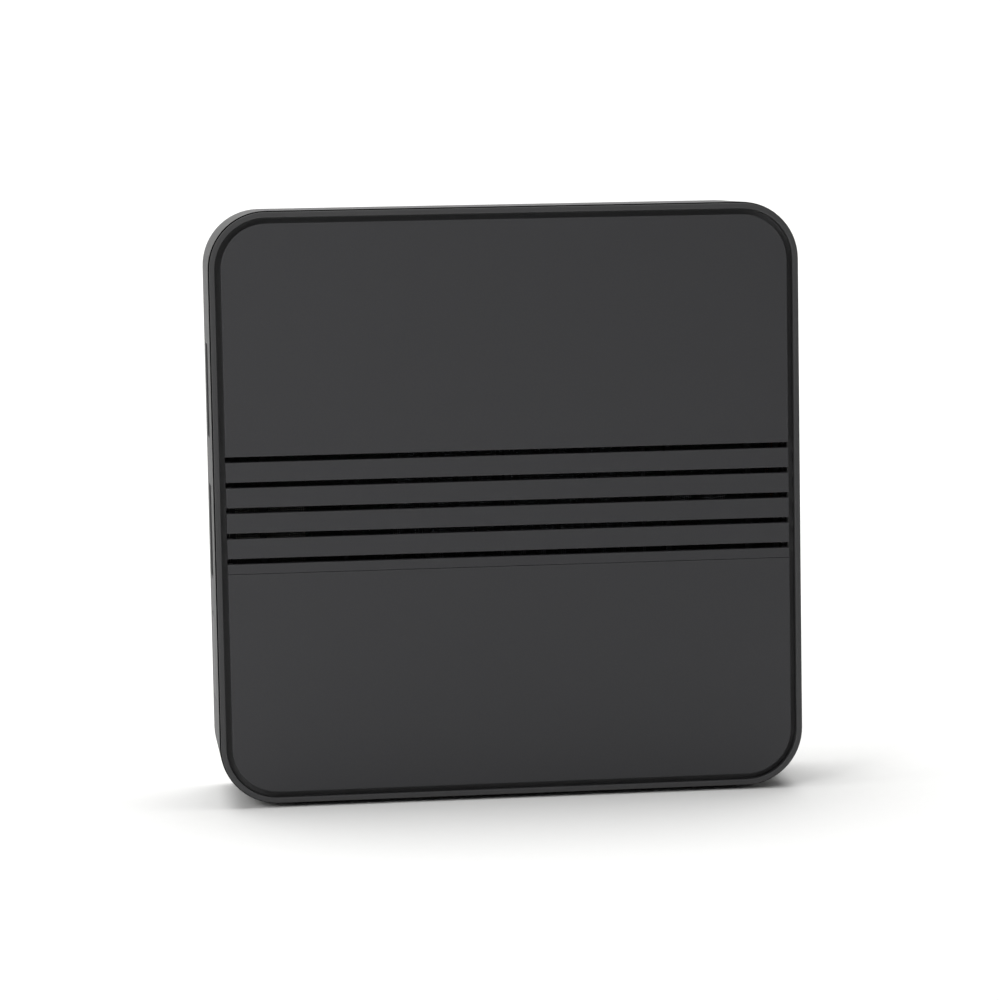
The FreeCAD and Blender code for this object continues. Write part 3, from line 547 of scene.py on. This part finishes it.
def retile(bm, region):
    """Gives one flat region with holes a clean tiling of triangles between its outlines.

    A tile is kept where a line from its middle crosses the outlines an odd number of times."""
    normal = sum((face.normal * face.calc_area() for face in region), Vector()).normalized()
    across = normal.orthogonal().normalized()
    up = normal.cross(across)
    rim = [edge for face in region for edge in face.edges
           if sum(other in region for other in edge.link_faces) == 1]
    verts = list(dict.fromkeys(vert for edge in rim for vert in edge.verts))
    place = {vert: i for i, vert in enumerate(verts)}
    flat = [Vector((vert.co.dot(across), vert.co.dot(up))) / MM for vert in verts]
    lines = [(place[edge.verts[0]], place[edge.verts[1]]) for edge in rim]
    points, _, tiles, sources, _, _ = delaunay_2d_cdt(flat, lines, [], 0, 1e-6)
    if len(points) != len(verts):
        return
    walls = [(flat[a], flat[b]) for a, b in lines]
    bmesh.ops.delete(bm, geom=list(region), context="FACES_ONLY")
    for tile in tiles:
        x, y = sum((points[i] for i in tile), Vector((0.0, 0.0))) / 3
        crossed = sum((a.y > y) != (b.y > y)
                      and x < a.x + (y - a.y) * (b.x - a.x) / (b.y - a.y) for a, b in walls)
        if crossed % 2:
            bm.faces.new([verts[sources[i][0]] for i in tile]).smooth = True


def retiled(thing):
    """Tiles every large flat face of an object anew, so that rounding leaves no sliver in it."""
    most_corners = 8  # a region with no more corners than this is left as it is
    bm = bmesh.new()
    bm.from_mesh(thing.data)
    bm.normal_update()
    regions, seen = [], set()
    for face in bm.faces:
        if face not in seen:
            region = flat_region(face)
            seen.update(region)
            if sum(len(each.verts) for each in region) > most_corners:
                regions.append(region)
    for region in regions:
        retile(bm, region)
    loose = [edge for edge in bm.edges if not edge.link_faces]
    bmesh.ops.delete(bm, geom=loose, context="EDGES")
    bm.to_mesh(thing.data)
    bm.free()


def rounded_copy(node, name, radius, segments=2, softer=None, soft_radius=0.0):
    """Copy of a node with its sharp edges rounded, as the mould's own edges leave them."""
    thing = merged_copy(node, name)
    thing.data.shade_smooth()
    bevel = thing.modifiers.new("moulded edge", "BEVEL")
    bevel.segments = segments
    if softer:
        weigh_edges(thing, radius, softer, soft_radius)
        bevel.limit_method = "WEIGHT"
        bevel.width = soft_radius
    else:
        bevel.limit_method = "ANGLE"
        bevel.angle_limit = SHARP
        bevel.width = radius
    bevel.use_clamp_overlap = False
    bevel.loop_slide = False
    bevel.miter_outer = "MITER_ARC"
    piece = settled(thing, name)
    retiled(piece)
    even = piece.modifiers.new("flat faces stay flat", "WEIGHTED_NORMAL")
    even.weight = 80
    return settled(piece, name)


def dress(piece, slot, body, *replaced):
    """Gives a piece its finish, its body and the nodes that it stands for."""
    piece.data.materials.clear()
    piece.data.materials.append(finish_of(slot))
    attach(piece, body)
    if replaced:
        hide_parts(*replaced)


def rounded_piece(node, radius, segments=2, softer=None, soft_radius=0.0):
    """Rounded copy that replaces its node on the same body."""
    piece = rounded_copy(node, node + "_moulded", radius, segments, softer, soft_radius)
    dress(piece, SLOT_OF[node], BODY_OF[node], node)


# ---- Geometry Nodes -----------------------------------------------------------------------------
def node_group(name, inputs):
    """Geometry node tree with one geometry in, one out, and named inputs of given kinds."""
    tree = bpy.data.node_groups.new(name, "GeometryNodeTree")
    face = tree.interface
    face.new_socket("Geometry", in_out="INPUT", socket_type="NodeSocketGeometry")
    face.new_socket("Geometry", in_out="OUTPUT", socket_type="NodeSocketGeometry")
    for label, kind in inputs.items():
        face.new_socket(label, in_out="INPUT", socket_type="NodeSocket" + kind)
    return tree, add(tree, "NodeGroupInput").outputs


def close_group(tree, geometry, material):
    """Ends a tree: instances made real, material set, geometry out."""
    real = add(tree, "GeometryNodeRealizeInstances", {"Geometry": geometry})
    painted = add(tree, "GeometryNodeSetMaterial", {
        "Geometry": real.outputs["Geometry"], "Material": material})
    add(tree, "NodeGroupOutput", {"Geometry": painted.outputs["Geometry"]})


def close_on_grid(tree, given, material, grid, instances):
    """Ends a tree: its geometry repeated on the points of an upright grid in the XZ plane."""
    flat = add(tree, "GeometryNodeMeshGrid", grid)
    upright = add(tree, "GeometryNodeTransform", {
        "Geometry": flat.outputs["Mesh"], "Rotation": (math.pi / 2, 0.0, 0.0),
        "Translation": given["Middle"]})
    placed = add(tree, "GeometryNodeInstanceOnPoints", {
        "Points": upright.outputs["Geometry"], "Instance": given["Geometry"], **instances})
    close_group(tree, placed.outputs["Instances"], material)


def grown(thing, tree, values, name):
    """The object's geometry after the tree has run with these input values, as a plain piece."""
    modifier = thing.modifiers.new("grow", "NODES")
    modifier.node_group = tree
    for item in tree.interface.items_tree:
        if item.in_out == "INPUT" and item.name in values:
            modifier[item.identifier] = values[item.name]
    return settled(thing, name)


def screen_tree(material):
    """Plain-woven screen: two sets of thin wires, one just behind the other, in a glued border."""
    tree, given = node_group("woven screen", {
        "Width": "Float", "Height": "Float", "Pitch": "Float", "Wire": "Float",
        "Middle": "Vector"})
    joined = add(tree, "GeometryNodeJoinGeometry")
    for along, reach, across, spread, side in (("X", "Width", "Z", "Height", -0.5),
                                               ("Z", "Height", "X", "Width", 0.5)):
        span = add(tree, "ShaderNodeMath", {0: given[spread], 1: given["Pitch"]},
                   operation="DIVIDE")
        count = add(tree, "ShaderNodeMath", {0: span.outputs[0]}, operation="FLOOR")
        start = add(tree, "ShaderNodeMath", {0: given[spread], 1: -0.5}, operation="MULTIPLY")
        depth = add(tree, "ShaderNodeMath", {0: given["Wire"], 1: side}, operation="MULTIPLY")
        first = add(tree, "ShaderNodeCombineXYZ", {
            across: start.outputs[0], "Y": depth.outputs[0]})
        step = add(tree, "ShaderNodeCombineXYZ", {across: given["Pitch"]})
        places = add(tree, "GeometryNodeMeshLine", {
            "Count": count.outputs[0], "Start Location": first.outputs[0],
            "Offset": step.outputs[0]})
        ends = []
        for sign in (-0.5, 0.5):
            half = add(tree, "ShaderNodeMath", {0: given[reach], 1: sign}, operation="MULTIPLY")
            ends.append(add(tree, "ShaderNodeCombineXYZ", {along: half.outputs[0]}).outputs[0])
        line = add(tree, "GeometryNodeCurvePrimitiveLine", {"Start": ends[0], "End": ends[1]})
        radius = add(tree, "ShaderNodeMath", {0: given["Wire"], 1: 0.5}, operation="MULTIPLY")
        circle = add(tree, "GeometryNodeCurvePrimitiveCircle", {
            "Resolution": 6, "Radius": radius.outputs[0]})
        wire = add(tree, "GeometryNodeCurveToMesh", {
            "Curve": line.outputs["Curve"], "Profile Curve": circle.outputs["Curve"],
            "Fill Caps": True})
        placed = add(tree, "GeometryNodeInstanceOnPoints", {
            "Points": places.outputs["Mesh"], "Instance": wire.outputs["Mesh"]})
        fill(tree, joined, {"Geometry": placed.outputs["Instances"]})
    moved = add(tree, "GeometryNodeTransform", {
        "Geometry": joined.outputs["Geometry"], "Translation": given["Middle"]})
    framed = add(tree, "GeometryNodeJoinGeometry", {"Geometry": moved.outputs["Geometry"]})
    fill(tree, framed, {"Geometry": given["Geometry"]})
    close_group(tree, framed.outputs["Geometry"], material)
    return tree


def corner_tree(material):
    """One screw repeated at the four corners of a rectangle, each turned by chance."""
    tree, given = node_group("screws at the corners", {
        "Span X": "Float", "Span Z": "Float", "Middle": "Vector"})
    turn = add(tree, "FunctionNodeRandomValue", {"Seed": 3, 3: math.pi / 2}, data_type="FLOAT")
    spin = add(tree, "ShaderNodeCombineXYZ", {"Y": turn.outputs[1]})
    close_on_grid(tree, given, material, {
        "Size X": given["Span X"], "Size Y": given["Span Z"], "Vertices X": 2,
        "Vertices Y": 2}, {"Rotation": spin.outputs[0]})
    return tree


def passives_tree(material):
    """Rows of small chip parts on the board, with some places left empty."""
    tree, given = node_group("rows of chip parts", {
        "Columns": "Int", "Rows": "Int", "Pitch": "Float", "Kept": "Float", "Seed": "Int",
        "Middle": "Vector"})
    spans = []
    for label in ("Columns", "Rows"):
        gaps = add(tree, "ShaderNodeMath", {0: given[label], 1: 1.0}, operation="SUBTRACT")
        span = add(tree, "ShaderNodeMath", {0: gaps.outputs[0], 1: given["Pitch"]},
                   operation="MULTIPLY")
        spans.append(span.outputs[0])
    keep = add(tree, "FunctionNodeRandomValue", {
        "Probability": given["Kept"], "Seed": given["Seed"]}, data_type="BOOLEAN")
    quarter = add(tree, "FunctionNodeRandomValue", {
        "Seed": given["Seed"], 4: 0, 5: 1}, data_type="INT")
    angle = add(tree, "ShaderNodeMath", {0: quarter.outputs[2], 1: math.pi / 2},
                operation="MULTIPLY")
    turn = add(tree, "ShaderNodeCombineXYZ", {"Y": angle.outputs[0]})
    close_on_grid(tree, given, material, {
        "Size X": spans[0], "Size Y": spans[1], "Vertices X": given["Columns"],
        "Vertices Y": given["Rows"]},
        {"Selection": keep.outputs[3], "Rotation": turn.outputs[0]})
    return tree


# ---- shapes that the trees repeat ---------------------------------------------------------------
def box_into(bm, low, high):
    """Adds a closed box between two corners to a bmesh."""
    low, high = Vector(low), Vector(high)
    placed = Matrix.Translation((low + high) / 2) @ Matrix.Diagonal((*(high - low), 1.0))
    bmesh.ops.create_cube(bm, size=1.0, matrix=placed)


def screen_border(low, high):
    """Glued border strip round the screen, as four mitred bars in one mesh."""
    band = 1.2 * MM
    bm = bmesh.new()
    loops = []
    for y in (low.y, high.y):
        for inset in (0.0, band):
            loops.append([bm.verts.new((x, y, z)) for x, z in (
                (low.x + inset, low.z + inset), (high.x - inset, low.z + inset),
                (high.x - inset, high.z - inset), (low.x + inset, high.z - inset))])
    front_out, front_in, back_out, back_in = loops
    for one, two in ((front_out, front_in), (back_in, back_out), (back_out, front_out),
                     (front_in, back_in)):
        for i in range(4):
            j = (i + 1) % 4
            bm.faces.new((one[i], one[j], two[j], two[i]))
    bmesh.ops.recalc_face_normals(bm, faces=bm.faces)
    return object_from(bm, "screen_border")


def cross_cutter(arm, slit, top, deep):
    """Space of a cross recess sunk from `top`: one cross-shaped prism that narrows to its floor.

    It stands above the head by its own depth, so its size at `top` is midway between its ends."""
    floor_end = (top - deep, arm * 0.35, slit * 0.25)
    open_end = (top + deep, arm * 1.65, slit * 1.95)
    bm = bmesh.new()
    loops = []
    for y, reach, half in (floor_end, open_end):
        corners = []
        for quarter in range(4):
            turn = Matrix.Rotation(-math.pi / 2 * quarter, 2)
            corners += [turn @ Vector(corner)
                        for corner in ((half, half), (reach, half), (reach, -half))]
        loops.append([bm.verts.new((corner.x, y, corner.y)) for corner in corners])
    floor, mouth = loops
    bm.faces.new(floor)
    bm.faces.new(mouth)
    for i in range(len(floor)):
        j = (i + 1) % len(floor)
        bm.faces.new((floor[i], floor[j], mouth[j], mouth[i]))
    bmesh.ops.recalc_face_normals(bm, faces=bm.faces)
    return object_from(bm, "recess")


def turned(outline, sides, pitch=0.0):
    """Closed shape turned about the Y axis from (radius, y) pairs.

    A pitch winds the grooves below y = 0 into a thread, which runs out before the tip."""
    bm = bmesh.new()
    rings = []
    low = min(y for _, y in outline) + pitch * 1.5
    for radius, y in outline:
        if radius == 0.0:
            rings.append([bm.verts.new((0.0, y, 0.0))])
            continue
        circle = []
        for k in range(sides):
            turn = 2 * math.pi * k / sides
            lead = pitch * k / sides if low < y < 0.0 else 0.0
            circle.append(bm.verts.new((radius * math.cos(turn), y - lead,
                                        radius * math.sin(turn))))
        rings.append(circle)
    for above, below in zip(rings, rings[1:]):
        for k in range(sides):
            j = (k + 1) % sides
            corners = [above[k % len(above)], above[j % len(above)],
                       below[j % len(below)], below[k % len(below)]]
            bm.faces.new(list(dict.fromkeys(corners)))
    bmesh.ops.recalc_face_normals(bm, faces=bm.faces)
    return bm


def screw_shape(head_radius, head_height, shank_radius, shank_length):
    """One pan-head screw about the Y axis, head at +Y, with a cross recess and a rolled thread."""
    sides, root, point = 28, 0.82, 0.3
    recess_arm, recess_slit, recess_depth = 0.62, 0.15, 0.62
    pan = [(head_radius * radius, head_height * y) for radius, y in (
        (0.0, 1.0), (0.55, 1.0), (0.82, 0.86), (0.97, 0.55), (1.0, 0.25), (1.0, 0.0), (0.0, 0.0))]
    head = object_from(turned(pan, sides), "screw_head")
    cutter = cross_cutter(head_radius * recess_arm, head_radius * recess_slit, head_height,
                          head_height * recess_depth)
    cut = head.modifiers.new("cross recess", "BOOLEAN")
    cut.object = cutter
    cut.operation = "DIFFERENCE"
    cut.solver = "EXACT"
    head = settled(head, "screw_head")
    bpy.data.objects.remove(cutter)
    pitch = sizes().thread_pitch
    turns = int(shank_length / pitch)
    neck, tip = head_height * 0.2, -pitch * turns - shank_radius
    shank = [(0.0, neck), (shank_radius, neck)]
    for i in range(turns * 2):
        shank.append((shank_radius * (1.0 if i % 2 else root), -pitch * (i + 1) / 2))
    shank += [(shank_radius * point, tip), (0.0, tip - shank_radius * 0.2)]
    screw = turned(shank, sides, pitch)
    screw.from_mesh(head.data)
    bpy.data.objects.remove(head)
    done = object_from(screw, "screw")
    done.data.set_sharp_from_angle(angle=math.radians(35))
    return done


def chip_part(size):
    """One small two-ended chip part, facing +Y: a body between two slightly larger solder ends."""
    half, wide, tall = size / 2, size * 0.27, size * 0.32
    body_half, body_wide, body_tall = half * 0.66, wide * 0.94, tall - 0.03 * MM
    end = half * 0.6
    bm = bmesh.new()
    box_into(bm, (-body_half, 0.0, -body_wide), (body_half, body_tall, body_wide))
    box_into(bm, (-half, 0.0, -wide), (-end, tall, wide))
    box_into(bm, (end, 0.0, -wide), (half, tall, wide))
    return object_from(bm, "chip_part")


# ---- operators ----------------------------------------------------------------------------------
class BuildCasing(bpy.types.Operator):
    """Rear housing, label, and the joint ring: near-black as painted shade of the seam's gap."""
    bl_idname = "wifi_node.build_casing"
    bl_label = "Casing"

    def execute(self, context):
        own = sizes()
        low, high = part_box("rear_housing")
        middle = (low + high) / 2
        reach, corner_share = 3 * MM, 0.62

        def on_rear_edge(edge):
            """True on the two loops of the chamfer round the rear wall."""
            for vert in edge.verts:
                place = vert.co
                side = min(place.x - low.x, high.x - place.x, place.z - low.z, high.z - place.z)
                corner = Vector((abs(place.x), abs(place.z - middle.z))).length
                outside = side < reach or corner > (high.x - low.x) * corner_share
                if not outside or place.y < high.y - reach:
                    return False
            return True

        rounded_piece("rear_housing", own.casing_edge, 3, on_rear_edge, own.rear_edge)
        # joint ring: a near-black piece that paints the shadow of the gap between front frame and
        # rear housing
        rounded_piece("joint_gasket", own.gap_shade_ring_edge, 1)
        rounded_piece("rating_label", own.label_edge, 1)
        return {"FINISHED"}


class BuildFront(bpy.types.Operator):
    """Front frame with its rim and trench, the slotted fascia and the plain fascia below it."""
    bl_idname = "wifi_node.build_front"
    bl_label = "Front"

    def execute(self, context):
        own = sizes()
        rounded_piece("front_frame", own.rim_edge)
        rounded_piece("upper_fascia", own.fascia_edge)
        rounded_piece("lower_fascia", own.fascia_edge)
        return {"FINISHED"}


class BuildScreen(bpy.types.Operator):
    """Woven black screen behind the louvre slots."""
    bl_idname = "wifi_node.build_screen"
    bl_label = "Screen"

    def execute(self, context):
        own = sizes()
        low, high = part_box("dust_screen")
        size, middle = high - low, (high + low) / 2
        cut_width, cut_height = 0.995, 0.98  # the wires end inside the glued border
        tree = screen_tree(finish_of("screen_mesh"))
        values = {"Width": size.x * cut_width, "Height": size.z * cut_height,
                  "Pitch": own.wire_pitch, "Wire": own.wire_size, "Middle": middle}
        piece = grown(screen_border(low, high), tree, values, "woven_screen")
        dress(piece, "screen_mesh", BODY_OF["dust_screen"], "dust_screen")
        return {"FINISHED"}


class BuildPorts(bpy.types.Operator):
    """Port bezels and the bodies of the jacks behind them."""
    bl_idname = "wifi_node.build_ports"
    bl_label = "Ports"

    def execute(self, context):
        own = sizes()
        for place in ("upper", "lower"):
            rounded_piece("port_bezel_" + place, own.bezel_edge)
            rounded_piece("ethernet_insert_" + place, own.insert_edge, 1)
            rounded_piece("ethernet_shell_" + place, own.shell_edge, 1)
        rounded_piece("power_inlet_shell", own.inlet_edge)
        rounded_piece("power_inlet_tongue", own.tongue_edge, 1)
        return {"FINISHED"}


class BuildButton(bpy.types.Operator):
    """Flush bar button of the pairing switch."""
    bl_idname = "wifi_node.build_button"
    bl_label = "Button"

    def execute(self, context):
        rounded_piece("pair_button", sizes().button_edge)
        return {"FINISHED"}


class BuildScrews(bpy.types.Operator):
    """Casing screws in their wells at the rear."""
    bl_idname = "wifi_node.build_screws"
    bl_label = "Screws"

    def execute(self, context):
        low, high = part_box("casing_screws")
        head_radius, head_height, shank_radius = 2.7 * MM, 1.8 * MM, 1.15 * MM
        point_length = 2 * MM
        span_x = high.x - low.x - 2 * head_radius
        span_z = high.z - low.z - 2 * head_radius
        shank_length = high.y - low.y - head_height - point_length
        seat = Vector(((high.x + low.x) / 2, high.y - head_height, (high.z + low.z) / 2))
        screw = screw_shape(head_radius, head_height, shank_radius, shank_length)
        tree = corner_tree(finish_of("screw_steel"))
        values = {"Span X": span_x, "Span Z": span_z, "Middle": seat}
        piece = grown(screw, tree, values, "cross_head_screws")
        dress(piece, "screw_steel", BODY_OF["casing_screws"], "casing_screws")
        return {"FINISHED"}


class BuildBoard(bpy.types.Operator):
    """Small chip parts on the board."""
    bl_idname = "wifi_node.build_board"
    bl_label = "Board"

    def execute(self, context):
        own = sizes()
        low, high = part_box("main_board")
        above_middle = 26 * MM
        vents_middle = Vector((0.0, high.y, (high.z + low.z) / 2 + above_middle))
        tree = passives_tree(finish_of("chip_resin"))
        values = {"Columns": 17, "Rows": 10, "Pitch": own.passive_pitch, "Kept": 0.7,
                  "Seed": own.passive_seed, "Middle": vents_middle}
        piece = grown(chip_part(own.passive_length), tree, values, "board_chip_parts")
        dress(piece, "chip_resin", BODY_OF["main_board"])
        return {"FINISHED"}


class DressFrame(bpy.types.Operator):
    """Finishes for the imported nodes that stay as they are."""
    bl_idname = "wifi_node.dress_frame"
    bl_label = "Finishes"

    def execute(self, context):
        for node, thing in NODES.items():
            thing.data.materials.clear()
            thing.data.materials.append(finish_of(SLOT_OF[node]))
        return {"FINISHED"}


class BuildStage(bpy.types.Operator):
    """Pale sweep, soft lights and the camera."""
    bl_idname = "wifi_node.build_stage"
    bl_label = "Stage"

    def execute(self, context):
        self.sweep()
        self.lights(context)
        self.camera(context)
        return {"FINISHED"}

    def sweep(self):
        """Floor that curves up into a wall behind the object."""
        near, far, side, curve, tall, steps = -2.2, 1.6, 3.2, 0.7, 3.0, 12
        outline = [(near, 0.0), (far - curve, 0.0)]
        for k in range(1, steps + 1):
            rise = math.pi / 2 * k / steps
            outline.append((far - curve + curve * math.sin(rise), curve * (1 - math.cos(rise))))
        outline.append((far, tall))
        bm = bmesh.new()
        rows = [[bm.verts.new((x, y, z)) for y, z in outline] for x in (-side, side)]
        for i in range(len(outline) - 1):
            bm.faces.new((rows[0][i], rows[1][i], rows[1][i + 1], rows[0][i + 1]))
        floor = object_from(bm, "studio_sweep")
        floor.data.shade_smooth()
        floor.data.materials.append(painted_sweep())

    def lights(self, context):
        """Soft lights at the left and overhead, one on the backdrop, and an even room."""
        own = context.scene.wifi_node_stage
        middle = (CAD_LOW + CAD_HIGH) / 2
        plan = (("left light", own.key, (-1.2, 0.05, 0.35), (0.0, 0.0, 0.0), 0.9),
                ("overhead light", own.top, (0.0, 0.1, 1.5), (0.0, 0.0, 0.0), 1.3),
                ("backdrop light", own.back, (0.0, 0.45, 1.7), (0.0, 1.5, 0.2), 1.6),
                ("fill light", own.fill, (-0.42, -0.5, 0.34), (0.0, 0.0, 0.0), 0.3))
        for name, watts, offset, aim, size in plan:
            lamp = bpy.data.lights.new(name, "AREA")
            lamp.energy = watts
            lamp.size = size
            holder = bpy.data.objects.new(name, lamp)
            holder.location = middle + Vector(offset)
            heading = Vector(aim) - Vector(offset)
            holder.rotation_euler = heading.to_track_quat("-Z", "Y").to_euler()
            context.scene.collection.objects.link(holder)
        world = bpy.data.worlds.new("even room")
        world.use_nodes = True
        fill(world.node_tree, world.node_tree.nodes["Background"], {
            "Color": (1.0, 1.0, 1.0, 1.0), "Strength": own.room})
        context.scene.world = world
        context.scene.view_settings.view_transform = "Standard"

    def camera(self, context):
        """Camera left of the front and a little above the middle, looking at the front panel."""
        own = context.scene.wifi_node_stage
        low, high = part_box("upper_fascia")
        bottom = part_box("lower_fascia")[0]
        target = Vector(((low.x + high.x) / 2, low.y, (bottom.z + high.z) / 2))
        heading = Vector((math.sin(own.turn) * math.cos(own.rise),
                          math.cos(own.turn) * math.cos(own.rise), -math.sin(own.rise)))
        level = heading.cross(Vector((0, 0, 1))).normalized()
        right = Matrix.Rotation(own.roll, 3, heading) @ level
        over = right.cross(heading)
        eye = bpy.data.objects.new("camera", bpy.data.cameras.new("camera"))
        eye.data.lens = own.lens
        eye.data.sensor_width = 36.0
        eye.data.clip_start = 0.02
        eye.data.clip_end = 20.0
        facing = Matrix((right, over, -heading)).transposed().to_4x4()
        target += over * own.aim_up - right * own.aim_left
        eye.matrix_world = Matrix.Translation(target - heading * own.distance) @ facing
        context.scene.collection.objects.link(eye)
        context.scene.camera = eye


# ---- add-on -------------------------------------------------------------------------------------
GROUPS = {"wifi_node_sizes": WifiNodeSizes, "wifi_node_colours": WifiNodeColours,
          "wifi_node_stage": WifiNodeStage}
STEPS = (DressFrame, BuildCasing, BuildFront, BuildScreen, BuildPorts, BuildButton, BuildScrews,
         BuildBoard, BuildStage)


class WifiNodePanel(bpy.types.Panel):
    """Sizes, colours and build steps of the wifi node."""
    bl_idname = "VIEW3D_PT_wifi_node"
    bl_label = "Mesh wifi node"
    bl_space_type = "VIEW_3D"
    bl_region_type = "UI"
    bl_category = "Wifi node"

    def draw(self, context):
        for held, kind in GROUPS.items():
            box = self.layout.box()
            box.label(text=held.rpartition("_")[2].capitalize())
            for name in kind.__annotations__:
                box.prop(getattr(context.scene, held), name)
        for step in STEPS:
            self.layout.operator(step.bl_idname)


def register():
    """Registers the groups, the operators and the panel."""
    for kind in (*GROUPS.values(), *STEPS, WifiNodePanel):
        bpy.utils.register_class(kind)
    for held, kind in GROUPS.items():
        setattr(bpy.types.Scene, held, PointerProperty(type=kind))


def unregister():
    """Takes everything that register added away again."""
    for held in GROUPS:
        delattr(bpy.types.Scene, held)
    for kind in reversed((*GROUPS.values(), *STEPS, WifiNodePanel)):
        bpy.utils.unregister_class(kind)


def main():
    """Registers the add-on, then builds every piece in order."""
    register()
    for step in STEPS:
        area, name = step.bl_idname.split(".")
        getattr(getattr(bpy.ops, area), name)()


if __name__ == "__main__":
    main()
